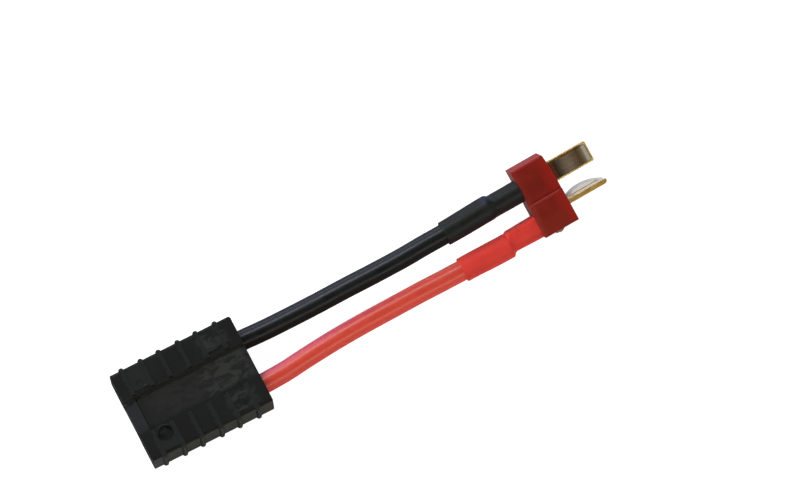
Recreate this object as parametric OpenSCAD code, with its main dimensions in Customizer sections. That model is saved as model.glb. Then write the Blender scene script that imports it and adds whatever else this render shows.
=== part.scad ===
// Battery connector adapter: a ribbed two-socket housing, two short silicone
// leads and a two-blade plug. Millimetres, +Z up, lying as it rests on a table.
// +X runs from the housing's mating face towards the plug's blades.

/* [Housing] */
// Length from the mating face to the cable face
housing_length = 29.3; // [28.5:0.1:32]
// Width over the two lands, without the ribs
housing_width = 21.4; // [20.8:0.1:22]
// Thickness, without the ribs
housing_thickness = 9.1; // [8.8:0.1:10]
// Distance between the centres of the two sockets
socket_pitch = 10.7; // [10.5:0.1:11]
// How far the ribs stand out of the faces and the sides
rib_height = 0.4; // [0.2:0.1:0.6]
// Thickness of a rib's crest along the housing
rib_thickness = 0.5; // [0.3:0.1:0.8]
// Radius of the housing's long outer edges
long_edge_radius = 0.7; // [0.3:0.1:0.9]
// Width of the sunk channel along the middle
channel_width = 8.2; // [7.5:0.1:9]
// Depth of the sunk channel
channel_depth = 1; // [0.6:0.1:1.1]

/* [Leads] */
// Outer diameter of a lead's jacket
lead_diameter = 4.6; // [4.2:0.1:4.6]
// Diameter of the stranded conductor
core_diameter = 2.6; // [2.2:0.1:2.7]

/* [Plug] */
// Distance from the housing's mating face to the middle of the plug body
plug_reach = 102.4; // [95:0.1:115]
// Sideways offset of the plug body from the housing's axis
plug_offset = 3.9; // [3:0.1:5]
// Turn of the plug body about the vertical, in degrees
plug_yaw = 3; // [1:1:5]
// Roll of the plug body about its own axis, in degrees
plug_roll = 20; // [14:1:24]
// Width of the plug body across both blades
plug_width = 16.4; // [15.8:0.1:17]
// Length of the plug body along the blades
plug_length = 8.4; // [7.5:0.1:9]
// Height of the half that holds the upright blade
plug_tall = 8; // [7.6:0.1:8.6]
// Height of the half that holds the flat blade
plug_low = 6.8; // [6:0.1:7.2]

/* [Blades] */
// How far the blades stand out of the plug body
blade_reach = 9.6; // [8.5:0.1:10.5]
// Width of a blade
blade_width = 4.8; // [4.4:0.1:5]
// Thickness of a blade
blade_thickness = 1.1; // [1:0.1:1.2]
// How high the leaf springs bow above the tray
spring_bow = 1.45; // [0.9:0.05:1.5]

/* [Hidden] */

eps = 0.01;
sides = 12;

// ---- housing frame: mating face at x = 0, axis at y = 0, ribs on z = 0
hl = housing_length;
hw = housing_width;
ht = housing_thickness;
rh = rib_height;
z_low = rh;
z_top = rh + ht;
z_mid = rh + ht / 2;
rib_places = [0.096, 0.255, 0.404, 0.563, 0.712, 0.871];
flank = 0.35;
lock_x = 5.2;
lock_y = -0.65;
passage_w = 6.6;
passage_h = 5.3;
stop_x = 2.6;
mouth_w = 5.8;
mouth_h = 4.4;

// ---- terminal
sheet = 0.4;
term_w = 6.4;
term_h = 5.1;
term_z = term_h / 2 - passage_h / 2;  // above the socket's axis
box_end = 15;
cup_end = 21;
cup_r = 1.95;
cup_in = 1.55;
core_start = 15.4;
jacket_start = 21.4;

// ---- plug frame: body centred on the origin, blades along +x
half_w = plug_width / 2;
half_l = plug_length / 2;
edge = 0.25;
plug_z = (half_w - edge) * sin(plug_roll) + plug_tall / 2 * cos(plug_roll);
flat_y = 3.4;
upright_y = -3.9;
tip_x = half_l + blade_reach;
tab_x = -9.4;
tab_w = 4;
core_end = -4.6;
jacket_end = -11.6;
sleeve_start = -23.3;
straight_start = -24;
flat_rise = 2;
upright_rise = 2.1;

// ---- where a point of the plug frame lies
function roll_point(p) = [p[0], p[1] * cos(plug_roll) - p[2] * sin(plug_roll),
                          p[1] * sin(plug_roll) + p[2] * cos(plug_roll)];
function yaw_point(p) = [p[0] * cos(plug_yaw) - p[1] * sin(plug_yaw),
                         p[0] * sin(plug_yaw) + p[1] * cos(plug_yaw), p[2]];
function from_plug(p) = yaw_point(roll_point(p)) + [plug_reach, plug_offset, plug_z];

// ---- the origin is under the middle of the whole object
far_points = [for (y = [flat_y - blade_width / 2, flat_y + blade_width / 2], z = [-0.5, 0.8])
                  from_plug([tip_x, y, z])[0],
              for (z = [-blade_width / 2, blade_width / 2]) from_plug([tip_x, upright_y, z])[0]];
side_points = [for (x = [-half_l, half_l], z = [-plug_low / 2, plug_low / 2])
                   from_plug([x, half_w - edge / 2, z])[1]];
mid_x = max(far_points) / 2;
mid_y = (max(side_points) - hw / 2 - rh) / 2;

module placed() { translate([-mid_x, -mid_y, 0]) children(); }
module in_plug() {
  placed() translate([plug_reach, plug_offset, plug_z])
    rotate([0, 0, plug_yaw]) rotate([plug_roll, 0, 0]) children();
}

// ---- lead routes: share of the way, then how far off the straight line, mm
black_bow = [[0, 0, 0], [0.1, -0.2, -0.3], [0.2, -0.3, -0.4], [0.35, -0.4, -0.3],
             [0.5, -0.4, 0], [0.65, -0.5, 0.3], [0.8, -0.45, 0.4], [0.9, -0.2, 0.3], [1, 0, 0]];
red_bow = [[0, 0, 0], [0.1, 0, 0], [0.2, 0.3, 0], [0.35, 0.6, 0],
           [0.5, 0.65, 0], [0.65, 0.5, 0], [0.8, 0.35, 0], [0.9, 0.15, 0], [1, 0, 0]];
// where a lead runs in the plug frame: at its straight stretch, then at the joint
black_line = [3.5, flat_rise];
black_joint = [3.6, flat_rise];
red_line = [-5.75, 0];
red_joint = [upright_y - upright_rise, 0];

function spot(a, b, k) = a + (b - a) * k[0] + [0, k[1], k[2]];
function blend(p, q, r, s, t) =
  0.5 * (2 * q + (r - p) * t + (2 * p - 5 * q + 4 * r - s) * t * t
         + (3 * q - p - 3 * r + s) * t * t * t);
function smooth(c, n) = let (m = len(c))
  [for (i = [0:m - 2], k = [0:n - 1])
     blend(c[max(i - 1, 0)], c[i], c[i + 1], c[min(i + 2, m - 1)], k / n), c[m - 1]];
function route(side, line, bow, joint) =
  let (y = side * socket_pitch / 2,
       a = [hl + 1, y, z_mid],
       b = from_plug([straight_start, line[0], line[1]]))
  concat([[core_start, y, z_mid], [jacket_start, y, z_mid]],
         smooth([for (k = bow) spot(a, b, k)], 2),
         [from_plug([jacket_end, joint[0], joint[1]]), from_plug([core_end, joint[0], joint[1]])]);

black_route = route(1, black_line, black_bow, black_joint);
red_route = route(-1, red_line, red_bow, red_joint);

function unit(v) = v / norm(v);
function heading(p, i) = unit(p[min(i + 1, len(p) - 1)] - p[max(i - 1, 0)]);
function ring(p, i, r) =
  let (t = heading(p, i), s = unit(cross([0, 0, 1], t)), u = cross(t, s))
  [for (k = [0:sides - 1]) p[i] + r * (cos(360 * k / sides) * s + sin(360 * k / sides) * u)];

// a closed round bar along the whole route
module swept_bar(p, r) {
  n = len(p);
  polyhedron(
    points = [for (i = [0:n - 1]) each ring(p, i, r)],
    faces = concat(
      [[for (k = [0:sides - 1]) k]],
      [for (i = [0:n - 2], k = [0:sides - 1]) let (a = i * sides, b = a + sides, j = (k + 1) % sides)
         [a + k, b + k, b + j, a + j]],
      [[for (k = [sides - 1:-1:0]) (n - 1) * sides + k]]));
}

// a tube along the route between two of its points
module swept_tube(p, first, last, r, bore) {
  n = last - first + 1;
  m = n * sides;
  polyhedron(
    points = concat([for (i = [first:last]) each ring(p, i, r)],
                    [for (i = [first:last]) each ring(p, i, bore)]),
    faces = concat(
      [for (i = [0:n - 2], k = [0:sides - 1]) let (a = i * sides, b = a + sides, j = (k + 1) % sides)
         [a + k, b + k, b + j, a + j]],
      [for (i = [0:n - 2], k = [0:sides - 1]) let (a = m + i * sides, b = a + sides, j = (k + 1) % sides)
         [a + k, a + j, b + j, b + k]],
      [for (k = [0:sides - 1]) let (j = (k + 1) % sides) [k, j, m + j, m + k]],
      [for (k = [0:sides - 1]) let (j = (k + 1) % sides, a = (n - 1) * sides)
         [a + k, m + a + k, m + a + j, a + j]]));
}

// ---- small helpers
module box(low, high) { translate(low) cube(high - low); }
// a profile drawn as [x, z], extruded over y from low to high
module along_y(low, high) { translate([0, high, 0]) rotate([90, 0, 0]) linear_extrude(high - low) children(); }
// a profile drawn as [y, z], extruded over x from low to high
module along_x(low, high) { translate([low, 0, 0]) rotate([90, 0, 90]) linear_extrude(high - low) children(); }

function clipped(w, h, c) = [[-w + c, -h], [w - c, -h], [w, -h + c], [w, h - c],
                             [w - c, h], [-w + c, h], [-w, h - c], [-w, -h + c]];

// a bowed leaf with a flat foot at each end: feet lie on z = 0
module leaf(x0, x1, foot, toe, bow, thick, wide) {
  a = x0 + foot;
  b = x1 - toe;
  half = (b - a) / 2;
  r = (half * half + bow * bow) / (2 * bow);
  along_y(-wide / 2, wide / 2) union() {
    translate([x0, 0]) square([foot + 0.15, thick]);
    translate([b - 0.15, 0]) square([toe + 0.15, thick]);
    intersection() {
      translate([(a + b) / 2, bow + thick / 2 - r]) difference() {
        circle(r = r + thick / 2, $fn = 90);
        circle(r = r - thick / 2, $fn = 90);
      }
      translate([a, 0]) square([b - a, bow + 2 * thick]);
    }
  }
}

// ---- housing
// a rectangle of half sizes w and h with rounded corners
module rounded(w, h, r) {
  square([2 * (w - r), 2 * h], center = true);
  square([2 * w, 2 * (h - r)], center = true);
  for (i = [-1, 1], j = [-1, 1]) translate([i * (w - r), j * (h - r)]) circle(r = r, $fn = 48);
}

// a rib that runs over the top, the side and the underside, with sloped flanks
module housing_rib(x, side) {
  y0 = channel_width / 2 + 0.25;
  y1 = hw / 2 + rh;
  top = rib_thickness / 2;
  foot = top + flank;
  s = side;
  intersection() {
    along_x(x - foot, x + foot)
      polygon([[s * y0, 0.15], [s * (y0 + 0.15), 0], [s * (y1 - 0.6), 0], [s * y1, 0.6],
               [s * y1, z_top + rh - 0.6], [s * (y1 - 0.6), z_top + rh],
               [s * (y0 + 0.15), z_top + rh], [s * y0, z_top + rh - 0.15]]);
    along_y(-y1 - 1, y1 + 1)
      polygon([[x - foot, z_low], [x - top, 0], [x + top, 0], [x + foot, z_low],
               [x + foot, z_top], [x + top, z_top + rh], [x - top, z_top + rh], [x - foot, z_top]]);
    linear_extrude(z_top + rh + 1)
      polygon([[x - foot, 0], [x + foot, 0], [x + foot, s * hw / 2], [x + top, s * y1],
               [x - top, s * y1], [x - foot, s * hw / 2]]);
  }
}

// from a socket's own axis; the black lead's socket is the red one's turned half round
module in_socket(side) {
  translate([0, side * socket_pitch / 2, z_mid]) rotate([side > 0 ? 180 : 0, 0, 0]) children();
}

module socket_space(side) {
  in_socket(side) {
    // room for the terminal and the lead
    box([stop_x, -passage_w / 2, -passage_h / 2], [hl + 1, passage_w / 2, passage_h / 2]);
    // mating mouth
    box([-1, -mouth_w / 2, term_z - mouth_h / 2], [stop_x + 1, mouth_w / 2, term_z + mouth_h / 2]);
    // lead-in slopes round the mouth
    along_y(-mouth_w / 2, mouth_w / 2)
      polygon([[-0.1, term_z - mouth_h / 2 - 0.5], [0.4, term_z - mouth_h / 2 - 0], [0.4, term_z + mouth_h / 2],
               [-0.1, term_z + mouth_h / 2 + 0.5]]);
    translate([0, 0, term_z - mouth_h / 2]) linear_extrude(mouth_h)
      polygon([[-0.1, -mouth_w / 2 - 0.5], [0.4, -mouth_w / 2], [0.4, mouth_w / 2], [-0.1, mouth_w / 2 + 0.5]]);
    // pocket in the roof that the terminal's locking tongue springs into
    box([3.9, lock_y - 0.8, 0], [6.6, lock_y + 0.8, 3]);
    // blind round recess outside it
    translate([lock_x, lock_y, 3.45]) cylinder(r = 1.65, h = ht, $fn = 48);
  }
}

module connector_housing() {
  pad_y = (hw / 2 + channel_width / 2) / 2;
  color([0.13, 0.13, 0.13]) placed() difference() {
    union() {
      difference() {
        // main block, long edges rounded and end corners bevelled
        intersection() {
          along_x(0, hl) translate([0, z_mid]) rounded(hw / 2, ht / 2, long_edge_radius);
          linear_extrude(z_top + 1)
            polygon([[0, -hw / 2 + 0.15], [0.15, -hw / 2], [hl - 0.3, -hw / 2], [hl, -hw / 2 + 0.4],
                     [hl, hw / 2 - 0.6], [hl - 0.3, hw / 2], [0.15, hw / 2], [0, hw / 2 - 0.15]]);
        }
        // sunk channel on both faces
        box([-1, -channel_width / 2, z_top - channel_depth], [hl + 1, channel_width / 2, z_top + 1]);
        box([-1, -channel_width / 2, -1], [hl + 1, channel_width / 2, z_low + channel_depth]);
        // sloped lip at the mating end of the upper channel
        along_y(-channel_width / 2, channel_width / 2)
          polygon([[-0.1, z_top - channel_depth - 0.9], [2.7, z_top - channel_depth + 0.05],
                   [2.7, z_top + 1], [-0.1, z_top + 1]]);
        // fine groove behind the lip
        box([2.7, -channel_width / 2, z_top - channel_depth - 0.2],
            [3.1, channel_width / 2, z_top]);
      }
      // ridge that starts the sunk panel
      box([3.3, -channel_width / 2 + 0.5, z_top - channel_depth - 0.1],
          [3.7, channel_width / 2 - 0.5, z_top - channel_depth + 0.15]);
      for (f = rib_places, s = [-1, 1]) housing_rib(f * hl, s);
      // raised pads between the first two ribs and at the cable end
      for (s = [-1, 1]) translate([0, s * pad_y, 0]) {
        box([rib_places[0] * hl, -2.45, z_top - 0.1], [rib_places[1] * hl, 2.45, z_top + 0.15]);
        box([rib_places[4] * hl, -2.1, z_top - 0.1], [0.905 * hl, 1.9, z_top + 0.15]);
      }
    }
    for (s = [-1, 1]) socket_space(s);
    // shallow round dimple in the pad over the black lead's socket
    translate([lock_x, socket_pitch / 2 - lock_y, z_top]) cylinder(r = 0.9, h = 1, $fn = 48);
    // shallow moulding marks in the rear pads
    for (s = [-1, 1]) translate([0.8 * hl, s * pad_y, z_top + 0.03]) difference() {
      cylinder(r = 1.1, h = 1, $fn = 48);
      translate([0, 0, -1]) cylinder(r = 0.6, h = 3, $fn = 48);
    }
  }
}

// ---- terminals, drawn from the socket's axis
module terminal(side) {
  w = term_w / 2;
  h = term_h / 2;
  placed() in_socket(side) difference() {
    union() {
      // folded box with a seam left open in its roof
      translate([0, 0, term_z]) difference() {
        along_x(stop_x, box_end) polygon(clipped(w, h, 0.3));
        box([stop_x - 1, -w + sheet, -h + sheet], [box_end + 1, w - sheet, h - sheet]);
        box([stop_x - 1, 0.9, 0], [box_end + 1, w - 1.1, h + 1]);
        // cut that frees the locking tongue
        box([4.2, -1.5, 0], [6.7, 0.2, h + 1]);
      }
      // neck and solder cup
      box([box_end - 1, -1.6, term_z - h], [box_end + 1.5, 1.6, -cup_in - 0.1]);
      translate([box_end, 0, 0]) rotate([0, 90, 0]) cylinder(r = cup_r, h = cup_end - box_end, $fn = 48);
      // locking tongue bent out of the roof
      along_y(lock_y - 0.55, lock_y + 0.55)
        translate([0, term_z + h])
          polygon([[3.9, -sheet], [3.9, 0], [4.2, 0], [6.2, 0.5], [6.3, 0.1], [4.4, -sheet]]);
    }
    translate([box_end - 1, 0, 0]) rotate([0, 90, 0]) cylinder(r = cup_in, h = cup_end - box_end + 2, $fn = 48);
  }
}
module black_terminal() { color([0.78, 0.6, 0.24]) terminal(1); }
module red_terminal() { color([0.78, 0.6, 0.24]) terminal(-1); }

module terminal_spring(side) {
  placed() in_socket(side) translate([0, 0, term_z - term_h / 2 + sheet])
    leaf(6.9, 14, 0.7, 0.7, 1.3, 0.2, 3.8);
}
module black_terminal_spring() { color([0.72, 0.72, 0.72]) terminal_spring(1); }
module red_terminal_spring() { color([0.72, 0.72, 0.72]) terminal_spring(-1); }

module cup_solder(side) {
  placed() in_socket(side) rotate([0, 90, 0]) difference() {
    translate([0, 0, 15.05]) cylinder(r = cup_in, h = 5.7, $fn = 48);
    translate([0, 0, core_start]) cylinder(r = core_diameter / 2, h = 10, $fn = 48);
  }
}
module black_cup_solder() { color([0.75, 0.75, 0.74]) cup_solder(1); }
module red_cup_solder() { color([0.75, 0.75, 0.74]) cup_solder(-1); }

// ---- leads
module lead(p) { placed() swept_tube(p, 1, len(p) - 2, lead_diameter / 2, core_diameter / 2); }
module black_lead() { color([0.07, 0.07, 0.08]) lead(black_route); }
module red_lead() { color([0.8, 0.2, 0.16]) lead(red_route); }
module black_lead_core() { color([0.72, 0.45, 0.3]) placed() swept_bar(black_route, core_diameter / 2); }
module red_lead_core() { color([0.72, 0.45, 0.3]) placed() swept_bar(red_route, core_diameter / 2); }

// ---- joint at the plug: tab across y at z = 0, conductor above it
module joint_space(off, rise) {
  along_x(tab_x - 0.6, -half_l) union() {
    translate([off, rise]) circle(r = 1.9, $fn = 48);
    translate([off - 1.8, 0]) square([3.6, rise]);
    translate([-tab_w / 2, -blade_thickness / 2]) square([tab_w, blade_thickness]);
  }
}
module conductor_space(off, rise) {
  translate([jacket_end - 0.5, off, rise]) rotate([0, 90, 0])
    cylinder(r = core_diameter / 2, h = core_end - jacket_end + 0.5, $fn = 48);
}
module tab_solder(off, rise) {
  difference() {
    joint_space(off, rise);
    conductor_space(off, rise);
    box([tab_x, -tab_w / 2, -blade_thickness / 2], [0, tab_w / 2, blade_thickness / 2]);
    // a thin gap keeps the solder off the plug's rear face
    box([-half_l - 0.3, -5, -5], [0, 5, 6]);
  }
}
// heat-shrink skin: a ring is drawn round circles given as [y, z, radius]
function ahead(c, n) = c[0] * n[0] + c[1] * n[1] + c[2];
function outermost(cs, n) = let (far = max([for (c = cs) ahead(c, n)]))
  [for (c = cs) if (ahead(c, n) > far - 0.000001) c][0];
function skin_ring(x, cs) =
  [for (k = [0:23]) let (n = [cos(15 * k + 7.5), sin(15 * k + 7.5)], c = outermost(cs, n))
     [x, c[0] + c[2] * n[0], c[1] + c[2] * n[1]]];
function joint_skin(off, rise, slump, big, small) =
  [[off, rise - 0.05, big], [-1.7 - slump, -0.15, small], [1.7 - slump, -0.15, small]];
module lofted(rings) {
  n = len(rings);
  polyhedron(
    points = [for (r = rings) each r],
    faces = concat(
      [[for (k = [0:23]) k]],
      [for (i = [0:n - 2], k = [0:23]) let (a = i * 24, b = a + 24, j = (k + 1) % 24) [a + k, b + k, b + j]],
      [for (i = [0:n - 2], k = [0:23]) let (a = i * 24, b = a + 24, j = (k + 1) % 24) [a + k, b + j, a + j]],
      [[for (k = [23:-1:0]) (n - 1) * 24 + k]]));
}
// a and b: [across, rise] of the lead's axis at straight_start and at the joint
module sleeve(a, b, mouth, bulge, slump, big, small) {
  k = (sleeve_start - straight_start) / (jacket_end - straight_start);
  m = a + (b - a) * k;
  run = [jacket_end - straight_start, b[0] - a[0], b[1] - a[1]];
  difference() {
    // round over the jacket, a step where the jacket ends, then close round the joint
    lofted([skin_ring(sleeve_start, [[m[0], m[1], mouth]]),
            skin_ring(sleeve_start + 10.6, [[b[0] + bulge[0], b[1] + bulge[1], mouth + 0.12]]),
            skin_ring(sleeve_start + 11.8, [[b[0] + bulge[0], b[1] + bulge[1], mouth + 0.12]]),
            skin_ring(tab_x - 0.8, joint_skin(b[0], b[1], slump, big, small)),
            skin_ring(-half_l, joint_skin(b[0], b[1], slump, big + 0.05, small + 0.05))]);
    translate([straight_start, a[0], a[1]]) rotate([0, 0, atan2(run[1], run[0])])
      rotate([0, 90 - asin(run[2] / norm(run)), 0]) cylinder(r = lead_diameter / 2, h = norm(run), $fn = 48);
    translate([jacket_end - 0.5, b[0], b[1]]) rotate([0, 90, 0])
      cylinder(r = core_diameter / 2 + 0.2, h = core_end - jacket_end + 0.5, $fn = 48);
    joint_space(b[0], b[1]);
  }
}
black_off = black_joint[0] - flat_y;
module at_flat() { in_plug() translate([0, flat_y, 0]) children(); }
module at_upright() { in_plug() translate([0, upright_y, 0]) rotate([90, 0, 0]) children(); }
module black_tab_solder() { color([0.75, 0.75, 0.74]) at_flat() tab_solder(black_off, flat_rise); }
module red_tab_solder() {
  color([0.75, 0.75, 0.74]) difference() {
    at_upright() tab_solder(0, upright_rise);
    in_plug() blade_bar(upright_y, true);
  }
}
module black_sleeve() { color([0.08, 0.08, 0.09]) at_flat()
    sleeve([black_line[0] - flat_y, flat_rise], [black_off, flat_rise], 2.75, [0.1, 0], 0.2, 2.35, 0.9);
}
module red_sleeve() {
  color([0.85, 0.18, 0.15]) difference() {
    at_upright() sleeve([0, upright_y - red_line[0]], [0, upright_rise], 2.76, [0, 0.12], 0, 2.3, 0.65);
    in_plug() blade_bar(upright_y, true);
  }
}

// ---- plug body
module plug_half(y0, y1, tall, back, run, cut) {
  h = tall / 2;
  intersection() {
    // a broad shallow bevel at the front, a fine one at the rear
    along_y(y0, y1) polygon([[-half_l + 0.2, -h], [half_l - 1.2, -h], [half_l, -h + 0.35], [half_l, h - 0.35],
                             [half_l - 1.2, h], [-half_l + 0.2, h], [-half_l, h - 0.2], [-half_l, -h + 0.2]]);
    along_x(-half_l, half_l) polygon([[y0, -h + edge], [y0 + edge, -h], [y1 - edge, -h], [y1, -h + edge],
                                      [y1, h - edge], [y1 - edge, h], [y0 + edge, h], [y0, h - edge]]);
    // the front falls back a little towards the end, and its corner is clipped
    translate([0, 0, -h]) linear_extrude(tall)
      polygon([[-half_l, y0], [half_l, y0], [half_l, y1 - run], [half_l - back, y1 - cut],
               [half_l - back - cut, y1], [-half_l, y1]]);
  }
}
module plug_body() {
  color([0.5, 0.1, 0.08]) in_plug() difference() {
    union() {
      plug_half(-half_w, -0.25, plug_tall, 0, 0.3, 0.1);
      plug_half(-1.25, half_w, plug_low, 0.4, 4.2, 0.25);
    }
    blade_bar(flat_y, false);
    blade_bar(upright_y, true);
    // pocket for the root of each leaf spring
    translate([0, flat_y, 0]) root_pocket();
    translate([0, upright_y, 0]) rotate([-90, 0, 0]) root_pocket();
  }
}
module root_pocket() {
  w = blade_width / 2 - 0.5;
  box([half_l - 1.4, -w, blade_thickness / 2 - 0.3], [half_l + 1, w, blade_thickness / 2 + 0.8]);
}

// ---- blades: width across y, spring side up
module blade_bar(y, turned) {
  translate([0, y, 0]) rotate([turned ? -90 : 0, 0, 0]) {
    box([tab_x, -tab_w / 2, -blade_thickness / 2], [half_l, tab_w / 2, blade_thickness / 2]);
  }
}
module blade() {
  w = blade_width / 2;
  t = blade_thickness / 2;
  difference() {
    union() {
      box([tab_x, -tab_w / 2, -t], [half_l + 1, tab_w / 2, t]);
      // exposed stretch: tip corners clipped, tip edge bevelled
      intersection() {
        box([half_l, -w, -t], [tip_x, w, t]);
        translate([0, 0, -2]) linear_extrude(4)
          polygon([[half_l, -w], [tip_x - 0.25, -w], [tip_x, -w + 0.25], [tip_x, w - 0.25], [tip_x - 0.25, w], [half_l, w]]);
        along_y(-w - 1, w + 1)
          polygon([[half_l, -t], [tip_x - 0.5, -t], [tip_x, -t + 0.35], [tip_x, t - 0.15], [tip_x - 0.15, t], [half_l, t]]);
      }
    }
    // tray for the leaf spring, with a raised lip along each side and the tip
    box([half_l - 1.4, -w + 0.5, t - 0.3], [tip_x - 0.4, w - 0.5, t + 1]);
  }
}
module blade_spring() {
  translate([0, 0, blade_thickness / 2 - 0.3])
    leaf(half_l - 1.2, tip_x - 0.43, 0.3, 0.02, spring_bow, 0.2, blade_width - 1.1);
}
module at_upright_blade() { in_plug() translate([0, upright_y, 0]) rotate([-90, 0, 0]) children(); }
module flat_blade() { color([0.85, 0.68, 0.3]) at_flat() blade(); }
module upright_blade() { color([0.85, 0.68, 0.3]) at_upright_blade() blade(); }
module flat_blade_spring() { color([0.75, 0.74, 0.7]) at_flat() blade_spring(); }
module upright_blade_spring() { color([0.75, 0.74, 0.7]) at_upright_blade() blade_spring(); }

connector_housing();
black_terminal();
red_terminal();
black_terminal_spring();
red_terminal_spring();
black_cup_solder();
red_cup_solder();
black_lead();
red_lead();
black_lead_core();
red_lead_core();
black_sleeve();
red_sleeve();
black_tab_solder();
red_tab_solder();
plug_body();
flat_blade();
upright_blade();
flat_blade_spring();
upright_blade_spring();
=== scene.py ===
"""Looks for the battery connector adapter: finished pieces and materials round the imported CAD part.

Lengths are in millimetres in the row frame until a mesh is made, and in metres after that.
"""

import math

import bmesh
import bpy
from mathutils import Matrix, Vector, noise


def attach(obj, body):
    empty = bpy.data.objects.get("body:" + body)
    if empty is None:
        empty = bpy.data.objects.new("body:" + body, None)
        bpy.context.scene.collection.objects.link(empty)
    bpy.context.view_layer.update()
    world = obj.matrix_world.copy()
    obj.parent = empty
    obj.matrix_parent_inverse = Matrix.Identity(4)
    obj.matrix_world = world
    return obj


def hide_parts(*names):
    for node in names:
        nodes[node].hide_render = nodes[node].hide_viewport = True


MM = 0.001
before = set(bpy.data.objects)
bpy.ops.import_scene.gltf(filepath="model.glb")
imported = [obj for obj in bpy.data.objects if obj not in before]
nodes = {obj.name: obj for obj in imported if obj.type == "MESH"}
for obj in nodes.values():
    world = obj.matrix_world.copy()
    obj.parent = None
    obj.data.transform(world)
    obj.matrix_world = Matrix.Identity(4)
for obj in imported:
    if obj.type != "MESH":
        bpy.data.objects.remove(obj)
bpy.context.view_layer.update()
scene = bpy.context.scene

# ---------------------------------------------------------------- frames
ORIGIN = Vector((58.2079, 0.8794, 0.0))  # the row's origin, seen from the housing's mating face
ROLL, YAW = math.radians(20), math.radians(3)
PLUG_AT = Vector((102.4, 3.9, 6.4778))
TO_PLUG = (
    Matrix.Translation(PLUG_AT - ORIGIN)
    @ Matrix.Rotation(YAW, 4, "Z")
    @ Matrix.Rotation(ROLL, 4, "X")
)
TO_HOUSING = Matrix.Translation(-ORIGIN)


def from_plug(x, y, z):
    """A point of the plug frame in the frame of the housing's mating face."""
    return TO_PLUG @ Vector((x, y, z)) + ORIGIN


# ---------------------------------------------------------------- camera
tilt_x, tilt_y, turn = math.radians(4.62), math.radians(11.47), math.radians(26.79)
to_eye = Vector((-math.sin(tilt_x), -math.sin(tilt_y), 0.0))
to_eye.z = math.sqrt(1 - to_eye.length_squared)
flat_right = (Vector((1, 0, 0)) - to_eye * to_eye.x).normalized()
flat_up = to_eye.cross(flat_right)
right = math.cos(turn) * flat_right - math.sin(turn) * flat_up
up = math.sin(turn) * flat_right + math.cos(turn) * flat_up
target = Vector((10.763, 5.768, 7.025)) * MM

eye = bpy.data.cameras.new("camera")
eye.lens = 391.8
eye.sensor_width = 36
eye.sensor_fit = "HORIZONTAL"
eye.clip_start = 0.05
eye.clip_end = 20
camera = bpy.data.objects.new("camera", eye)
turn_to = Matrix((right, up, to_eye)).transposed().to_4x4()
camera.matrix_world = Matrix.Translation(target + to_eye * 1.9) @ turn_to
scene.collection.objects.link(camera)
scene.camera = camera
scene.view_settings.view_transform = "Standard"


# ---------------------------------------------------------------- material kit
def new_material(name):
    m = bpy.data.materials.new(name)
    m.use_nodes = True
    tree = m.node_tree
    return m, tree, tree.nodes["Principled BSDF"]


def add(tree, kind, **values):
    n = tree.nodes.new(kind)
    for k, v in values.items():
        if k in n.inputs:
            n.inputs[k].default_value = v
        else:
            setattr(n, k, v)
    return n


def object_coords(tree, stretch=(1, 1, 1)):
    c = add(tree, "ShaderNodeTexCoord")
    m = add(tree, "ShaderNodeMapping")
    m.inputs["Scale"].default_value = stretch
    tree.links.new(c.outputs["Object"], m.inputs["Vector"])
    return m.outputs["Vector"]


def noise_tex(tree, where, scale, detail=4.0, rough=0.55, distort=0.0):
    n = add(tree, "ShaderNodeTexNoise")
    n.inputs["Scale"].default_value = scale
    n.inputs["Detail"].default_value = detail
    n.inputs["Roughness"].default_value = rough
    n.inputs["Distortion"].default_value = distort
    tree.links.new(where, n.inputs["Vector"])
    return n.outputs["Fac"]


def ramp(tree, value, stops):
    r = add(tree, "ShaderNodeValToRGB")
    els = r.color_ramp.elements
    while len(els) < len(stops):
        els.new(0.5)
    for e, (at, col) in zip(els, stops):
        e.position = at
        e.color = (*col, 1) if len(col) == 3 else col
    tree.links.new(value, r.inputs["Fac"])
    return r.outputs["Color"]


def grey_ramp(tree, value, low_at, low, high_at, high):
    r = add(tree, "ShaderNodeMapRange")
    r.inputs["From Min"].default_value = low_at
    r.inputs["From Max"].default_value = high_at
    r.inputs["To Min"].default_value = low
    r.inputs["To Max"].default_value = high
    tree.links.new(value, r.inputs["Value"])
    return r.outputs["Result"]


def bump(tree, height, strength, distance, below=None):
    b = add(tree, "ShaderNodeBump")
    b.inputs["Strength"].default_value = strength
    b.inputs["Distance"].default_value = distance
    tree.links.new(height, b.inputs["Height"])
    if below is not None:
        tree.links.new(below, b.inputs["Normal"])
    return b.outputs["Normal"]


def reach_along(tree, start, axis, wobble=0.0):
    """How far a point lies from start along axis, in millimetres, with a soft uneven edge."""
    where = object_coords(tree)
    off = add(tree, "ShaderNodeVectorMath", operation="SUBTRACT")
    tree.links.new(where, off.inputs[0])
    off.inputs[1].default_value = start * MM
    dot = add(tree, "ShaderNodeVectorMath", operation="DOT_PRODUCT")
    tree.links.new(off.outputs["Vector"], dot.inputs[0])
    dot.inputs[1].default_value = axis / MM
    if not wobble:
        return dot.outputs["Value"]
    uneven = add(tree, "ShaderNodeMath", operation="MULTIPLY_ADD")
    tree.links.new(noise_tex(tree, where, 700.0, 3.0, 0.6), uneven.inputs[0])
    uneven.inputs[1].default_value = 2 * wobble
    uneven.inputs[2].default_value = -wobble
    total = add(tree, "ShaderNodeMath", operation="ADD")
    tree.links.new(dot.outputs["Value"], total.inputs[0])
    tree.links.new(uneven.outputs["Value"], total.inputs[1])
    return total.outputs["Value"]


def step(tree, value, low, high):
    """0 below low, 1 above high, eased in between."""
    r = add(tree, "ShaderNodeMapRange", interpolation_type="SMOOTHSTEP")
    r.inputs["From Min"].default_value = low
    r.inputs["From Max"].default_value = high
    tree.links.new(value, r.inputs["Value"])
    return r.outputs["Result"]


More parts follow.
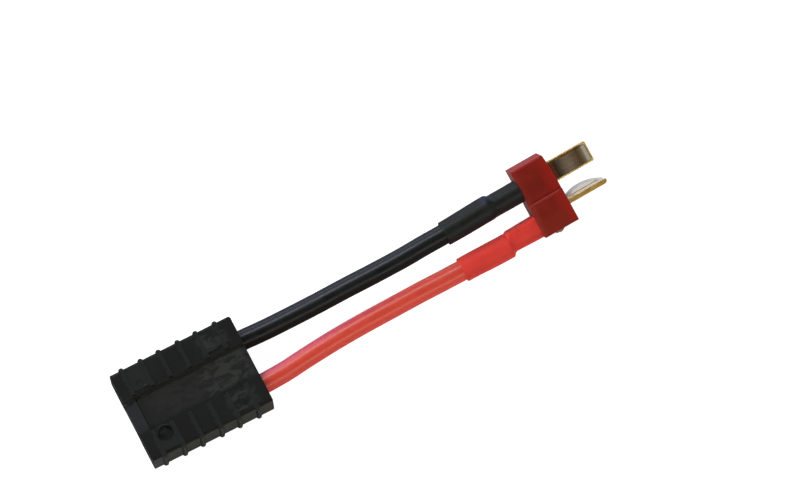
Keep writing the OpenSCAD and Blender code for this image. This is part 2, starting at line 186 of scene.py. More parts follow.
def both_of(tree, one, other):
    n = add(tree, "ShaderNodeMath", operation="MULTIPLY")
    tree.links.new(one, n.inputs[0])
    tree.links.new(other, n.inputs[1])
    return n.outputs["Value"]


def span(tree, value, low, high, soft):
    """1 between low and high, 0 outside."""
    rise = step(tree, value, low - soft, low + soft)
    r = add(tree, "ShaderNodeMapRange", interpolation_type="SMOOTHSTEP")
    r.inputs["From Min"].default_value = high - soft
    r.inputs["From Max"].default_value = high + soft
    r.inputs["To Min"].default_value = 1.0
    r.inputs["To Max"].default_value = 0.0
    tree.links.new(value, r.inputs["Value"])
    return both_of(tree, rise, r.outputs["Result"])


def absolute(tree, value):
    n = add(tree, "ShaderNodeMath", operation="ABSOLUTE")
    tree.links.new(value, n.inputs[0])
    return n.outputs["Value"]


def facing(tree, axis, low, high):
    """1 where the surface faces axis, 0 where it faces away from it."""
    c = add(tree, "ShaderNodeTexCoord")
    dot = add(tree, "ShaderNodeVectorMath", operation="DOT_PRODUCT")
    tree.links.new(c.outputs["Normal"], dot.inputs[0])
    dot.inputs[1].default_value = axis
    return step(tree, dot.outputs["Value"], low, high)


def over(tree, below, mask, colour):
    n = add(tree, "ShaderNodeMixRGB")
    tree.links.new(mask, n.inputs["Fac"])
    tree.links.new(below, n.inputs["Color1"])
    n.inputs["Color2"].default_value = (*colour, 1)
    return n.outputs["Color"]


def colour_into(m, make):
    """Replaces a material's base colour by the one that make builds over it."""
    t = m.node_tree
    socket = t.nodes["Principled BSDF"].inputs["Base Color"]
    t.links.new(make(t, socket.links[0].from_socket), socket)


def moulded(name, dark, base, light, rough, grain=9000.0, grain_depth=0.00001, patch=260.0, spec=0.5, spread=0.07):
    """Injection-moulded plastic: fine eroded grain, slow patches of tone and gloss."""
    m, t, p = new_material(name)
    where = object_coords(t)
    slow = noise_tex(t, where, patch, 3.0, 0.6, 0.4)
    fine = noise_tex(t, where, grain, 3.0, 0.6)
    t.links.new(ramp(t, slow, [(0.32, dark), (0.5, base), (0.7, light)]), p.inputs["Base Color"])
    t.links.new(grey_ramp(t, slow, 0.3, rough - spread, 0.7, rough + spread), p.inputs["Roughness"])
    p.inputs["Specular IOR Level"].default_value = spec
    scuffs = noise_tex(t, object_coords(t, (1, 0.12, 1)), grain * 0.35, 2.0, 0.5)
    n = bump(t, fine, 0.35, grain_depth)
    t.links.new(bump(t, scuffs, 0.15, grain_depth, n), p.inputs["Normal"])
    return m


def rubbery(name, dark, base, light, rough, sheen, tint, spec=0.5, grain=5200.0, ripple=0.00002):
    """Soft silicone or shrunk sleeve: a slight dust sheen, fine skin, slow ripples."""
    m, t, p = new_material(name)
    where = object_coords(t)
    slow = noise_tex(t, where, 420.0, 3.0, 0.55, 0.6)
    fine = noise_tex(t, where, grain, 4.0, 0.6)
    t.links.new(ramp(t, slow, [(0.33, dark), (0.5, base), (0.68, light)]), p.inputs["Base Color"])
    t.links.new(grey_ramp(t, slow, 0.3, rough - 0.05, 0.7, rough + 0.06), p.inputs["Roughness"])
    p.inputs["Specular IOR Level"].default_value = spec
    p.inputs["Sheen Weight"].default_value = sheen
    p.inputs["Sheen Roughness"].default_value = 0.4
    p.inputs["Sheen Tint"].default_value = (*tint, 1)
    n = bump(t, fine, 0.08, 0.000008)
    t.links.new(bump(t, slow, 0.10, ripple, n), p.inputs["Normal"])
    return m


def metallic(name, dark, base, light, rough, brushed=(1, 1, 1), grain=2600.0, depth=0.000004, patch=500.0, spread=0.06):
    """Plated or rolled metal: drawn grain, faint tarnish and uneven gloss."""
    m, t, p = new_material(name)
    p.inputs["Metallic"].default_value = 1.0
    where = object_coords(t)
    slow = noise_tex(t, where, patch, 4.0, 0.6, 0.5)
    fine = noise_tex(t, object_coords(t, brushed), grain, 3.0, 0.6)
    t.links.new(ramp(t, slow, [(0.3, dark), (0.5, base), (0.72, light)]), p.inputs["Base Color"])
    t.links.new(grey_ramp(t, fine, 0.25, rough - spread, 0.75, rough + spread), p.inputs["Roughness"])
    t.links.new(bump(t, fine, 0.25, depth), p.inputs["Normal"])
    return m


black_nylon = moulded("black_nylon", (0.0042, 0.0042, 0.0043), (0.0048, 0.0051, 0.0050), (0.0062, 0.0070, 0.0066), 0.56, patch=190.0, spec=0.165, spread=0.05)
red_nylon = moulded("red_nylon", (0.185, 0.0098, 0.0042), (0.205, 0.0105, 0.0048), (0.225, 0.0115, 0.0058), 0.36, grain=7000.0, grain_depth=0.000004, spec=0.26, spread=0.03)
black_silicone = rubbery("black_silicone", (0.0045, 0.0072, 0.0068), (0.0055, 0.0084, 0.0080), (0.0065, 0.0092, 0.0086), 0.33, 0.0, (0.7, 0.8, 1.0), spec=0.3)
red_silicone = rubbery("red_silicone", (0.64, 0.060, 0.036), (0.67, 0.064, 0.039), (0.70, 0.069, 0.043), 0.36, 0.0, (1.0, 0.75, 0.8), spec=0.5)
black_shrink = rubbery("black_heat_shrink", (0.0080, 0.0092, 0.0080), (0.0100, 0.0115, 0.0098), (0.0120, 0.0140, 0.0125), 0.46, 0.0, (0.6, 0.7, 1.0), spec=0.2, grain=8000.0)
red_shrink = rubbery("red_heat_shrink", (0.70, 0.046, 0.035), (0.73, 0.049, 0.037), (0.76, 0.054, 0.041), 0.55, 0.0, (1.0, 0.6, 0.7), spec=0.15, grain=8000.0)
gold_plate = metallic("gold_plate", (0.70, 0.46, 0.15), (0.86, 0.61, 0.23), (0.96, 0.76, 0.38), 0.42, brushed=(0.15, 1, 1), spread=0.08)
spring_metal = metallic("spring_metal", (0.50, 0.44, 0.34), (0.60, 0.54, 0.44), (0.70, 0.66, 0.58), 0.20, brushed=(0.12, 1, 1), spread=0.04)
# painted light: the upright leaf is the same spring metal as the flat leaf, drawn as a pale, half-metallic copy so that
# it reads bright
painted_bright_spring = metallic("spring_metal_painted_bright", (0.70, 0.69, 0.68), (0.76, 0.75, 0.74), (0.82, 0.81, 0.80), 0.45, brushed=(0.12, 1, 1), spread=0.04)
painted_bright_spring.node_tree.nodes["Principled BSDF"].inputs["Metallic"].default_value = 0.35
# painted shade: the terminals are drawn in a brass much darker than their plating, so they read dark inside the sockets
dark_painted_terminal_brass = metallic("terminal_brass_painted_dark", (0.10, 0.085, 0.05), (0.16, 0.13, 0.07), (0.22, 0.18, 0.10), 0.38)
solder_metal = metallic("solder", (0.42, 0.42, 0.42), (0.58, 0.58, 0.58), (0.70, 0.70, 0.70), 0.34, grain=1500.0, depth=0.00002)


def strand_material():
    """Bare copper strands laid up along the conductor."""
    m, t, p = new_material("copper_strand")
    p.inputs["Metallic"].default_value = 1.0
    w = add(t, "ShaderNodeTexWave")
    w.inputs["Scale"].default_value = 1400.0
    w.inputs["Distortion"].default_value = 0.6
    w.inputs["Detail"].default_value = 1.0
    m_ap = object_coords(t, (0.35, 1, 1))
    t.links.new(m_ap, w.inputs["Vector"])
    tone = noise_tex(t, object_coords(t), 900.0)
    t.links.new(ramp(t, tone, [(0.3, (0.52, 0.22, 0.11)), (0.5, (0.72, 0.34, 0.19)), (0.7, (0.82, 0.46, 0.28))]), p.inputs["Base Color"])
    t.links.new(grey_ramp(t, tone, 0.3, 0.24, 0.7, 0.4), p.inputs["Roughness"])
    t.links.new(bump(t, w.outputs["Fac"], 0.5, 0.00006), p.inputs["Normal"])
    return m


copper = strand_material()


# ---------------------------------------------------------------- tones that change over a moulding
def housing_tones_and_painted_light(t, base):
    """Lighter sunk channel and pads with painted light and shade, from the mating face: a bluer painted reflection on
    the lip, painted shade along the channel walls and in the latch recess, painted light over the far wall's shadows,
    painted highlights on the ribs, and olive side faces painted paler as if lit.
    """
    x = reach_along(t, -ORIGIN, Vector((1, 0, 0)), 0.8)
    y = reach_along(t, -ORIGIN, Vector((0, 1, 0)), 0.3)
    off = absolute(t, y)
    blot = noise_tex(t, object_coords(t, (0.7, 1.2, 1)), 520.0, 2.0, 0.6, 0.8)
    patchy = step(t, blot, 0.40, 0.56)
    c = base
    # pads: front and rear
    c = over(t, c, both_of(t, span(t, x, 3.0, 7.3, 0.7), span(t, off, 5.0, 9.8, 0.5)), (0.0104, 0.0120, 0.0113))
    c = over(t, c, both_of(t, both_of(t, span(t, x, 20.5, 26.6, 1.0), span(t, off, 5.2, 9.6, 0.7)), patchy), (0.0215, 0.0240, 0.0228))
    # channel: middle and cable half; the paler channel tone stops short of each wall, leaving painted shade along its
    # foot
    inside = span(t, y, -3.5, 3.7, 0.5)
    c = over(t, c, inside, (0.0088, 0.0098, 0.0090))
    c = over(t, c, both_of(t, both_of(t, inside, patchy), span(t, x, 4.5, 17.5, 1.5)), (0.0135, 0.0148, 0.0134))
    c = over(t, c, both_of(t, both_of(t, inside, patchy), span(t, x, 17.5, 28.5, 1.2)), (0.0250, 0.0275, 0.0250))
    # painted reflection: the lip at the mating end is painted bluer, as the sky shows in it
    c = over(t, c, both_of(t, span(t, x, -1.0, 2.6, 0.4), span(t, y, -2.8, 3.2, 0.9)), (0.0095, 0.0108, 0.0132))
    # round recess over the latch: a dull rim, a floor painted darker than the pad as painted shade, and painted light
    # on the side of the floor that lies in the far wall's shadow
    from_recess = add(t, "ShaderNodeVectorMath", operation="LENGTH")
    flat = add(t, "ShaderNodeCombineXYZ")
    t.links.new(reach_along(t, TO_HOUSING @ Vector((5.2, -6.0, 0)), Vector((1, 0, 0))), flat.inputs["X"])
    t.links.new(reach_along(t, TO_HOUSING @ Vector((5.2, -6.0, 0)), Vector((0, 1, 0))), flat.inputs["Y"])
    t.links.new(flat.outputs["Vector"], from_recess.inputs[0])
    away = from_recess.outputs["Value"]
    c = over(t, c, span(t, away, 1.6, 2.15, 0.15), (0.0100, 0.0106, 0.0096))
    within = span(t, away, -1.0, 1.75, 0.1)
    c = over(t, c, within, (0.0082, 0.0090, 0.0084))
    # painted light: the floor's shadowed side is painted paler to lift the far wall's shadow
    shadowed_side = reach_along(t, TO_HOUSING @ Vector((5.2, -6.0, 0)), Vector((-0.312, 0.950, 0)))
    c = over(t, c, both_of(t, within, step(t, shadowed_side, 0.15, 0.95)), (0.0400, 0.0420, 0.0400))
    t.links.new(grey_ramp(t, span(t, away, 1.45, 2.0, 0.1), 0.0, 0.165, 1.0, 0.07), t.nodes["Principled BSDF"].inputs["Specular IOR Level"])
    # painted highlight: the ribs are painted paler where they catch the light
    for place in (2.81, 7.47, 11.84, 16.5, 20.86, 25.52):
        c = over(t, c, both_of(t, span(t, x, place - 0.3, place + 0.3, 0.35), step(t, off, 4.2, 4.8)), (0.0105, 0.0122, 0.0120))
    # side faces and steep walls catch the paper's light
    c = over(t, c, facing(t, Vector((1, 0, 0.2)), 0.5, 0.8), (0.0260, 0.0275, 0.0265))
    steep = facing(t, Vector((0, -1, 0)), 0.55, 0.9)
    c = over(t, c, both_of(t, steep, within), (0.0300, 0.0300, 0.0280))
    c = over(t, c, both_of(t, steep, span(t, y, 3.0, 5.5, 0.3)), (0.0300, 0.0300, 0.0280))
    # painted light: the foot of the far wall is painted paler to lift the shadow there
    z = reach_along(t, -ORIGIN, Vector((0, 0, 1)))
    c = over(t, c, both_of(t, span(t, z, 7.0, 9.05, 0.2), span(t, y, 3.5, 5.5, 0.25)), (0.0320, 0.0345, 0.0335))
    # painted light: the outer side faces towards the paper are painted paler and olive, as the paper lights them
    c = over(t, c, both_of(t, steep, step(t, off, 9.2, 10.2)), (0.0450, 0.0470, 0.0395))
    return c


PLUG_X = (TO_PLUG.to_3x3() @ Vector((1, 0, 0))).normalized()
PLUG_Y = (TO_PLUG.to_3x3() @ Vector((0, 1, 0))).normalized()
PLUG_MID = TO_PLUG.to_translation()


def plug_painted_light(t, base):
    """Painted light and shade on the plug: painted light as a brighter band along the front edge, a pinker painted
    reflection along the rear, a deeper middle as painted shade, a slightly lighter patch on the upright half, a painted
    highlight on the step line and painted light along the +Y edge.
    """
    x = reach_along(t, PLUG_MID, PLUG_X, 0.25)
    y = reach_along(t, PLUG_MID, PLUG_Y, 0.3)
    c = base
    # painted shade in the middle, painted light along the front edge, a painted reflection along the rear, a painted
    # highlight on the step line, painted light along the +Y edge
    c = over(t, c, both_of(t, span(t, x, -2.4, 1.4, 0.8), span(t, y, 1.6, 4.6, 1.0)), (0.178, 0.0086, 0.0038))
    c = over(t, c, step(t, x, 0.6, 3.9), (0.305, 0.0100, 0.0050))
    c = over(t, c, span(t, x, -4.2, -3.1, 0.35), (0.232, 0.0200, 0.0120))
    c = over(t, c, both_of(t, span(t, x, -3.4, 2.6, 0.6), span(t, y, -9.0, -4.2, 0.8)), (0.212, 0.0140, 0.0068))
    c = over(t, c, span(t, y, -0.8, -0.25, 0.15), (0.245, 0.0175, 0.0120))
    c = over(t, c, step(t, y, 7.3, 7.9), (0.28, 0.0115, 0.0080))
    return c


def leaf_painted_reflections(t, base):
    """Painted reflections along the flat blade's leaf: dark at the root, paler in the middle and at the tip."""
    x = reach_along(t, PLUG_MID, PLUG_X, 0.15)
    c = over(t, base, span(t, x, -20.0, 5.0, 0.25), (0.50, 0.66, 0.40))
    c = over(t, c, step(t, x, 5.2, 8.2), (0.74, 0.60, 0.50))
    c = over(t, c, step(t, x, 8.6, 9.8), (0.48, 0.36, 0.24))
    c = over(t, c, step(t, x, 9.9, 11.0), (0.26, 0.175, 0.10))
    c = over(t, c, step(t, x, 11.1, 11.6), (0.18, 0.13, 0.08))
    return over(t, c, step(t, x, 12.1, 12.6), (0.31, 0.275, 0.225))


def flat_blade_painted_glint(t, base):
    """A painted highlight: the flat blade's rim towards the other blade is painted pale."""
    return over(t, base, span(t, reach_along(t, PLUG_MID, PLUG_Y), -2.0, 1.42, 0.1), (1.0, 0.81, 0.37))


def upright_painted_light(t, base):
    """Painted light: the side of the upright blade that carries the leaf is painted paler than its edge."""
    return over(t, base, facing(t, PLUG_Y, 0.5, 0.85), (0.95, 0.92, 0.82))


def red_jacket_painted_light(t, base):
    """Painted light on red silicone: a pinkish painted reflection on the side towards the window, fading along the
    lead, and a brighter orange painted light on the side towards the paper.
    """
    x = reach_along(t, -ORIGIN, Vector((1, 0, 0)))
    painted_sky_tint = facing(t, Vector((0.0, 0.93, 0.25)), 0.35, 0.85)
    c = over(t, base, both_of(t, painted_sky_tint, grey_ramp(t, x, 46.0, 1.0, 71.0, 0.0)), (0.655, 0.090, 0.132))
    return over(t, c, facing(t, Vector((0.0, -1.0, 0.1)), 0.30, 0.80), (0.79, 0.064, 0.037))


def black_jacket_painted_light(t, base):
    """Painted light: black silicone is painted lighter and warmer on the side towards the paper."""
    return over(t, base, facing(t, Vector((0.0, -1.0, 0.1)), 0.45, 0.80), (0.0150, 0.0160, 0.0145))


def black_sleeve_tones(t, base):
    """A bluish gleam where the sleeve steps down behind the plug."""
    x = reach_along(t, PLUG_MID, PLUG_X, 0.3)
    return over(t, base, both_of(t, span(t, x, -13.0, -10.6, 0.7), facing(t, PLUG_Y, 0.35, 0.8)), (0.016, 0.019, 0.040))


def dulled(m, axis, name, low, high):
    """Changes one of a material's values from low to high where the surface faces axis."""
    t = m.node_tree
    r = grey_ramp(t, facing(t, axis, 0.5, 0.8), 0.0, low, 1.0, high)
    t.links.new(r, t.nodes["Principled BSDF"].inputs[name])


upright_gold = metallic("upright_gold_plate", (0.58, 0.37, 0.10), (0.72, 0.48, 0.15), (0.84, 0.62, 0.26), 0.42, brushed=(0.15, 1, 1), spread=0.08)
colour_into(upright_gold, upright_painted_light)
# painted light: that side is also made non-metallic, so it reads bright
dulled(upright_gold, PLUG_Y, "Metallic", 1.0, 0.0)
# painted light: the side of the blade behind the leaf glows a little, standing in for the light that the leaf's bright
# back throws on it
dulled(upright_gold, PLUG_Y, "Emission Strength", 0.0, 0.22)
upright_gold.node_tree.nodes["Principled BSDF"].inputs["Emission Color"].default_value = (1.0, 0.96, 0.92, 1)
colour_into(red_silicone, red_jacket_painted_light)
colour_into(black_silicone, black_jacket_painted_light)
colour_into(black_shrink, black_sleeve_tones)
dulled(black_silicone, Vector((0, -1.0, 0.1)), "Specular IOR Level", 0.3, 0.03)
black_silicone.node_tree.nodes["Principled BSDF"].inputs["Specular Tint"].default_value = (0.94, 0.86, 1.0, 1)
colour_into(black_nylon, housing_tones_and_painted_light)
colour_into(red_nylon, plug_painted_light)
# painted shade: the flat leaf is the same spring metal as the upright leaf, drawn as a dark copy
dark_painted_leaf_metal = metallic("leaf_metal_painted_dark", (0.135, 0.120, 0.075), (0.15, 0.135, 0.085), (0.17, 0.155, 0.10), 0.26, grain=1500.0, depth=0.000001, brushed=(0.12, 1, 1), spread=0.02)
colour_into(dark_painted_leaf_metal, leaf_painted_reflections)
colour_into(gold_plate, flat_blade_painted_glint)

# ---------------------------------------------------------------- leads, first of all pieces
PITCH_HALF = 5.35
HOUSING_L = 29.3
LEAD_D = 4.6
BLACK_LINE, BLACK_JOINT = (3.5, 2.0), (3.6, 2.0)
RED_LINE, RED_JOINT = (-5.75, 0.0), (-6.0, 0.0)
BLACK_BOW = [(0, 0, 0), (0.1, -0.2, -0.3), (0.2, -0.3, -0.4), (0.35, -0.4, -0.3), (0.5, -0.4, 0), (0.65, -0.5, 0.3), (0.8, -0.45, 0.4), (0.9, -0.2, 0.3), (1, 0, 0)]
RED_BOW = [(0, 0, 0), (0.1, 0, 0), (0.2, 0.3, 0), (0.35, 0.6, 0), (0.5, 0.65, 0), (0.65, 0.5, 0), (0.8, 0.35, 0), (0.9, 0.15, 0), (1, 0, 0)]


def lead_route(side, line, joint, bow):
    """The jacket's centreline, as part.scad lays it, in the row frame."""
    y = side * PITCH_HALF
    a = Vector((HOUSING_L + 1, y, 4.95))
    b = from_plug(-24, *line)
    spots = [a + (b - a) * k[0] + Vector((0, k[1], k[2])) for k in bow]
    pts = []
    for i in range(len(spots) - 1):
        p, q, r, s = spots[max(i - 1, 0)], spots[i], spots[i + 1], spots[min(i + 2, len(spots) - 1)]
        for u in (0.0, 0.5):
            pts.append(0.5 * (2 * q + (r - p) * u + (2 * p - 5 * q + 4 * r - s) * u * u + (3 * q - p - 3 * r + s) * u ** 3))
    pts.append(spots[-1])
    pts = [Vector((21.4, y, 4.95))] + pts + [from_plug(-11.6, *joint)]
    return [p - ORIGIN for p in pts]


def make_lead(name, pts, material):
    cu = bpy.data.curves.new(name, "CURVE")
    cu.dimensions = "3D"
    cu.resolution_u = 10
    cu.bevel_depth = LEAD_D / 2 * MM
    cu.bevel_resolution = 26
    cu.use_fill_caps = True
    sp = cu.splines.new("BEZIER")
    sp.bezier_points.add(len(pts) - 1)
    for bp, p in zip(sp.bezier_points, pts):
        bp.co = p * MM
        bp.handle_left_type = bp.handle_right_type = "AUTO"
    cu.materials.append(material)
    ob = bpy.data.objects.new(name, cu)
    scene.collection.objects.link(ob)
    return ob


black_lead = make_lead("black_silicone_lead", lead_route(1, BLACK_LINE, BLACK_JOINT, BLACK_BOW), black_silicone)
red_lead = make_lead("red_silicone_lead", lead_route(-1, RED_LINE, RED_JOINT, RED_BOW), red_silicone)
for ob, side, length, node in ((black_lead, 1, 0.0696, "black_lead"), (red_lead, -1, 0.0698, "red_lead")):
    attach(ob, "root")
    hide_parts(node)


# ---------------------------------------------------------------- mesh kit
def finish_mesh(name, bm, material, node=None, smooth_angle=None):
    """Turns a bmesh in millimetres of the row frame into a piece of the object."""
    bmesh.ops.scale(bm, vec=(MM, MM, MM), verts=bm.verts)
    me = bpy.data.meshes.new(name)
    bm.to_mesh(me)
    bm.free()
    for f in me.polygons:
        f.use_smooth = True
    if smooth_angle:
        me.set_sharp_from_angle(angle=math.radians(smooth_angle))
    me.materials.append(material)
    ob = bpy.data.objects.new(name, me)
    scene.collection.objects.link(ob)
    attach(ob, "root")
    if node:
        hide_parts(node)
    return ob


def softened(node, name, material, width, segments=2, angle=32):
    """The CAD solid again with its edges rounded as the mould or the press leaves them."""
    bm = bmesh.new()
    bm.from_mesh(nodes[node].data)
    bmesh.ops.scale(bm, vec=(1 / MM, 1 / MM, 1 / MM), verts=bm.verts)
    bmesh.ops.remove_doubles(bm, verts=bm.verts, dist=0.002)
    bmesh.ops.dissolve_limit(bm, angle_limit=math.radians(0.8), verts=bm.verts, edges=bm.edges)
    bmesh.ops.recalc_face_normals(bm, faces=bm.faces)
    sharp = [e for e in bm.edges if len(e.link_faces) == 2 and e.calc_face_angle(0) > math.radians(angle)]
    bmesh.ops.bevel(bm, geom=sharp, offset=width, offset_type="OFFSET", segments=segments, profile=0.5, affect="EDGES", clamp_overlap=True, loop_slide=True)
    ob = finish_mesh(name, bm, material, node)
    w = ob.modifiers.new("even_shading", "WEIGHTED_NORMAL")
    w.weight = 80
    w.keep_sharp = False
    return ob


housing = softened("connector_housing", "housing_moulding", black_nylon, 0.09)
plug = softened("plug_body", "plug_moulding", red_nylon, 0.14, segments=3)
flat_blade = softened("flat_blade", "flat_gold_blade", gold_plate, 0.12, segments=3)
upright_blade = softened("upright_blade", "upright_gold_blade", upright_gold, 0.12, segments=3)
flat_spring = softened("flat_blade_spring", "flat_blade_leaf", dark_painted_leaf_metal, 0.03, segments=1)
upright_spring = softened("upright_blade_spring", "upright_blade_leaf", painted_bright_spring, 0.03, segments=1)
for node in ("black_terminal", "red_terminal"):
    softened(node, node + "_folded", dark_painted_terminal_brass, 0.04, segments=1)


def dress(node, material):
    data = nodes[node].data
    data.materials.clear()
    data.materials.append(material)


for node in ("black_terminal_spring", "red_terminal_spring"):
    dress(node, spring_metal)
for node in ("black_cup_solder", "red_cup_solder", "black_tab_solder", "red_tab_solder"):
    dress(node, solder_metal)
for node in ("black_lead_core", "red_lead_core"):
    dress(node, copper)


# ---------------------------------------------------------------- heat-shrink sleeves
def outline(circles, count):
    """Evenly spaced points round the tight wrap of some circles [y, z, radius]."""
    raw = []
    for k in range(720):
        a = math.pi / 2 + 2 * math.pi * k / 720
        n = (math.cos(a), math.sin(a))
        c = max(circles, key=lambda s: s[0] * n[0] + s[1] * n[1] + s[2])
        raw.append(Vector((c[0] + c[2] * n[0], c[1] + c[2] * n[1])))
    raw.append(raw[0].copy())
    run = [0.0]
    for p, q in zip(raw, raw[1:]):
        run.append(run[-1] + (q - p).length)
    pts, i = [], 0
    for k in range(count):
        at = run[-1] * k / count
        while run[i + 1] < at:
            i += 1
        step = run[i + 1] - run[i]
        pts.append(raw[i].lerp(raw[i + 1], (at - run[i]) / step if step > 1e-9 else 0.0))
    return pts


def ease(x, a, b):
    t = min(max((x - a) / (b - a), 0.0), 1.0)
    return t * t * (3 - 2 * t)


def make_sleeve(name, node, material, base, line, joint, mouth, swell, bulge, slump, big, small, flare, start, seed):
    """base takes the joint's own frame (tab across y, conductor above it) to the row frame;
    line and joint are the lead's axis [across, rise] at its straight stretch and at the tab."""
    START, END, WALL, COUNT = start, -4.2, 0.3, 72
    xs = [START, START + 0.03, START + 0.08, START + 0.18]
    x = START + 0.5
    while x < END - 0.3:
        xs.append(x)
        x += 0.28
    xs += [END - 0.16, END]

    def circles(x):
        r = mouth + swell * ease(x, START - 4, -12.6)
        if x < START + 0.18:
            r -= 0.10 * (1 - math.sqrt(max(0.0, 1 - (1 - (x - START) / 0.18) ** 2)))
        along = min(max((x + 24) / 12.4, 0.0), 1.0)
        k = ease(x, -11.9, -10.8)
        puff = ease(x, START + 1, -13.0) * (1 - k)
        off = line[0] + (joint[0] - line[0]) * along + bulge[0] * puff
        rise = line[1] + (joint[1] - line[1]) * along + bulge[1] * puff
        tail = flare * ease(x, -10.0, END)
        top = rise - 0.05 * k + 0.7 * tail
        side, low = 1.7 * k, rise * (1 - k) - 0.15 * k
        thin = (r - 0.25) * (1 - k) + (small + tail) * k
        shift = -slump * k
        return [(off, top, r + (big + tail - r) * k), (off * (1 - k) - side + shift, low, thin), (off * (1 - k) + side + shift, low, thin)]

    bm = bmesh.new()
    skins = []
    for inner in (False, True):
        rings = []
        for x in xs:
            cs = circles(x)
            if inner:
                cs = [(c[0], c[1], c[2] - WALL) for c in circles(max(x, START + 0.3))]
            ring = []
            for k, p in enumerate(outline(cs, COUNT)):
                q = Vector((x, p.x, p.y))
                if not inner and START + 0.15 < x < END - 0.2:
                    n = Vector((0, p.x - joint[0], p.y - 1.6)).normalized()
                    w = noise.noise(Vector((x * 0.35 + seed, p.x * 0.5, p.y * 0.5)))
                    w += 0.35 * noise.noise(Vector((x * 1.3 + seed, p.x * 1.2, p.y * 1.2)))
                    taut = ease(x, -13.2, -12.0) * (1 - ease(x, -10.4, -9.0))
                    q += n * (0.030 * w + 0.06 * taut * noise.noise(Vector((x * 2.0 + seed, p.x * 1.6, 3.0))))
                ring.append(bm.verts.new(base @ q))
            rings.append(ring)
        skins.append(rings)
        for a, b in zip(rings, rings[1:]):
            for k in range(COUNT):
                j = (k + 1) % COUNT
                quad = (a[k], b[k], b[j], a[j])
                bm.faces.new(quad if inner else tuple(reversed(quad)))
    outer, inside = skins
    for k in range(COUNT):
        j = (k + 1) % COUNT
        bm.faces.new((outer[0][k], inside[0][k], inside[0][j], outer[0][j]))
        bm.faces.new((outer[-1][j], inside[-1][j], inside[-1][k], outer[-1][k]))
    bmesh.ops.recalc_face_normals(bm, faces=bm.faces)
    ob = finish_mesh(name, bm, material, node, smooth_angle=50)
    return ob


AT_FLAT = TO_PLUG @ Matrix.Translation((0, 3.4, 0))
AT_UPRIGHT = TO_PLUG @ Matrix.Translation((0, -3.9, 0)) @ Matrix.Rotation(math.radians(90), 4, "X")
make_sleeve("black_shrunk_sleeve", "black_sleeve", black_shrink, AT_FLAT, (0.1, 2.0), (0.2, 2.0), 2.74, 0.13, (0.10, 0.0), 0.21, 2.42, 0.90, 0.05, -23.2, 3.7)
make_sleeve("red_shrunk_sleeve", "red_sleeve", red_shrink, AT_UPRIGHT, (0.0, 1.85), (0.0, 2.1), 2.75, 0.12, (0.0, 0.12), 0.0, 2.19, 0.58, 0.10, -23.3, 11.2)


# ---------------------------------------------------------------- gate mark on the plug body
def gate_mark():
    """The torn stub that the moulding's runner leaves on the plug's long side."""
    bm = bmesh.new()
    bmesh.ops.create_icosphere(bm, subdivisions=3, radius=1.0)
    for v in bm.verts:
        w = noise.noise(v.co * 1.9 + Vector((5, 1, 2)))
        v.co *= 1 + 0.22 * w
        v.co.x *= 1.1
        v.co.y *= 0.40
        v.co.z *= 0.40
        v.co += Vector((-0.6, -8.27, 3.35))
    bmesh.ops.transform(bm, matrix=TO_PLUG, verts=bm.verts)
    m = moulded("gate_mark", (0.26, 0.075, 0.055), (0.36, 0.17, 0.135), (0.50, 0.31, 0.26), 0.5, grain=6000.0)
    return finish_mesh("plug_gate_mark", bm, m)


gate_mark()


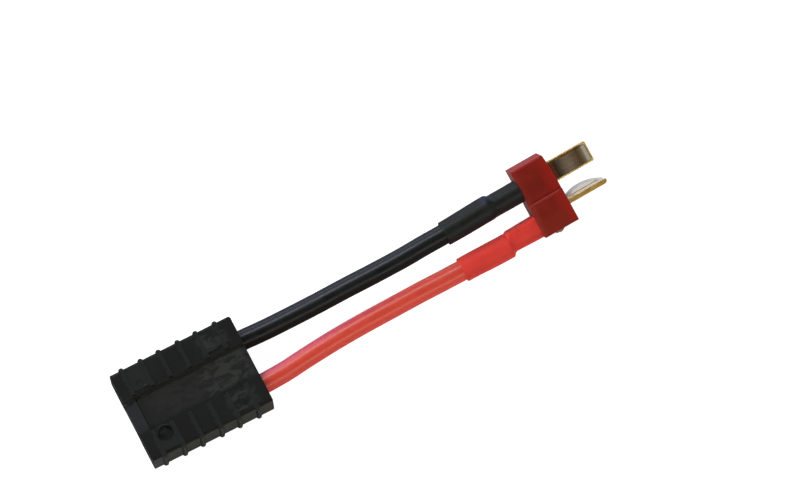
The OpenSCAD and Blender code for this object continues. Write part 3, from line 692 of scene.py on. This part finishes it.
# ---------------------------------------------------------------- floor and light
def floor():
    bm = bmesh.new()
    bmesh.ops.create_grid(bm, x_segments=2, y_segments=2, size=3.0)
    me = bpy.data.meshes.new("floor")
    bm.to_mesh(me)
    bm.free()
    m, t, p = new_material("floor_paper")
    where = object_coords(t)
    tone = noise_tex(t, where, 30.0, 3.0)
    t.links.new(ramp(t, tone, [(0.3, (0.40, 0.40, 0.40)), (0.7, (0.42, 0.42, 0.42))]), p.inputs["Base Color"])
    p.inputs["Roughness"].default_value = 0.9
    p.inputs["Specular IOR Level"].default_value = 0.1
    glow = add(t, "ShaderNodeEmission", Color=(1, 1, 1, 1), Strength=0.94)
    # painted shadow: the paper is greyer under the upright blade's leaf
    along = reach_along(t, PLUG_MID, PLUG_X)
    aside = reach_along(t, PLUG_MID, PLUG_X.cross(Vector((0, 0, -1))).normalized())
    arch = add(t, "ShaderNodeMath", operation="SUBTRACT")
    t.links.new(along, arch.inputs[0])
    arch.inputs[1].default_value = 8.9
    arch = both_of(t, arch.outputs["Value"], arch.outputs["Value"])
    height = add(t, "ShaderNodeMath", operation="MULTIPLY_ADD")
    t.links.new(arch, height.inputs[0])
    height.inputs[1].default_value = 0.05
    t.links.new(aside, height.inputs[2])
    shade = both_of(t, span(t, along, 4.6, 13.4, 0.2), both_of(t, span(t, aside, -2.75, 3.0, 0.12), span(t, height.outputs["Value"], -4.0, -0.62, 0.12)))
    t.links.new(grey_ramp(t, shade, 0.0, 0.94, 1.0, 0.38), glow.inputs["Strength"])
    both = add(t, "ShaderNodeAddShader")
    t.links.new(p.outputs["BSDF"], both.inputs[0])
    t.links.new(glow.outputs["Emission"], both.inputs[1])
    # the paper lights the object from below, but the object's sides mirror a duller floor
    pale = add(t, "ShaderNodeBsdfDiffuse", Color=(0.80, 0.80, 0.79, 1))
    shine = add(t, "ShaderNodeEmission", Color=(1, 1, 0.98, 1), Strength=0.30)
    bright = add(t, "ShaderNodeAddShader")
    t.links.new(pale.outputs["BSDF"], bright.inputs[0])
    t.links.new(shine.outputs["Emission"], bright.inputs[1])
    dull = add(t, "ShaderNodeBsdfDiffuse", Color=(0.38, 0.385, 0.41, 1))
    seen = add(t, "ShaderNodeLightPath")
    lit = add(t, "ShaderNodeMixShader")
    t.links.new(seen.outputs["Is Glossy Ray"], lit.inputs["Fac"])
    t.links.new(bright.outputs["Shader"], lit.inputs[1])
    t.links.new(dull.outputs["BSDF"], lit.inputs[2])
    pick = add(t, "ShaderNodeMixShader")
    t.links.new(seen.outputs["Is Camera Ray"], pick.inputs["Fac"])
    t.links.new(lit.outputs["Shader"], pick.inputs[1])
    t.links.new(both.outputs["Shader"], pick.inputs[2])
    t.links.new(pick.outputs["Shader"], t.nodes["Material Output"].inputs["Surface"])
    me.materials.append(m)
    ob = bpy.data.objects.new("floor", me)
    ob.location = (0, 0, -0.00002)
    scene.collection.objects.link(ob)
    return ob


floor()


def area_light(name, place, aim, size_x, size_y, watts, colour, along=(1, 0, 0)):
    """A softbox at place, facing aim, its long side as near to along as it can be."""
    data = bpy.data.lights.new(name, "AREA")
    data.shape = "RECTANGLE"
    data.size = size_x
    data.size_y = size_y
    data.energy = watts
    data.color = colour
    ob = bpy.data.objects.new(name, data)
    z = (Vector(place) - Vector(aim)).normalized()
    x = (Vector(along) - z * z.dot(Vector(along))).normalized()
    y = z.cross(x)
    ob.matrix_world = Matrix.Translation(place) @ Matrix((x, y, z)).transposed().to_4x4()
    ob.visible_camera = False
    scene.collection.objects.link(ob)
    return ob


area_light("window", (-0.45, 0.75, 0.95), (0, 0, 0), 1.5, 0.32, 14, (0.96, 0.98, 1.0))
area_light("sky_wall", (-0.2, 1.5, 0.30), (0, 0, 0), 2.6, 0.62, 14, (0.62, 0.78, 1.0))
area_light("left_wall", (-1.5, 0.1, 0.55), (0, 0, 0), 1.2, 0.5, 6, (0.86, 0.90, 1.0), along=(0, 1, 0))
area_light("warm_wall", (0.2, -1.05, 0.75), (0, 0, 0), 1.6, 0.30, 5.8, (1.0, 0.93, 0.78))
area_light("right_wall", (1.3, -0.15, 0.62), (0, 0, 0), 0.9, 0.50, 1.5, (0.97, 1.0, 0.93), along=(0, 1, 0))

world = bpy.data.worlds.new("studio")
scene.world = world
world.use_nodes = True
wt = world.node_tree
back = wt.nodes["Background"]
place = add(wt, "ShaderNodeTexCoord")
parts = add(wt, "ShaderNodeSeparateXYZ")
wt.links.new(place.outputs["Generated"], parts.inputs["Vector"])
wt.links.new(ramp(wt, parts.outputs["Z"], [(0.0, (0.50, 0.52, 0.56)), (0.5, (0.22, 0.21, 0.20)), (0.8, (0.12, 0.095, 0.07)), (1.0, (0.10, 0.085, 0.07))]), back.inputs["Color"])
back.inputs["Strength"].default_value = 0.9
pale = add(wt, "ShaderNodeBackground", Color=(1, 1, 1, 1), Strength=1.0)
seen = add(wt, "ShaderNodeLightPath")
pick = add(wt, "ShaderNodeMixShader")
wt.links.new(seen.outputs["Is Camera Ray"], pick.inputs["Fac"])
wt.links.new(back.outputs["Background"], pick.inputs[1])
wt.links.new(pale.outputs["Background"], pick.inputs[2])
wt.links.new(pick.outputs["Shader"], wt.nodes["World Output"].inputs["Surface"])
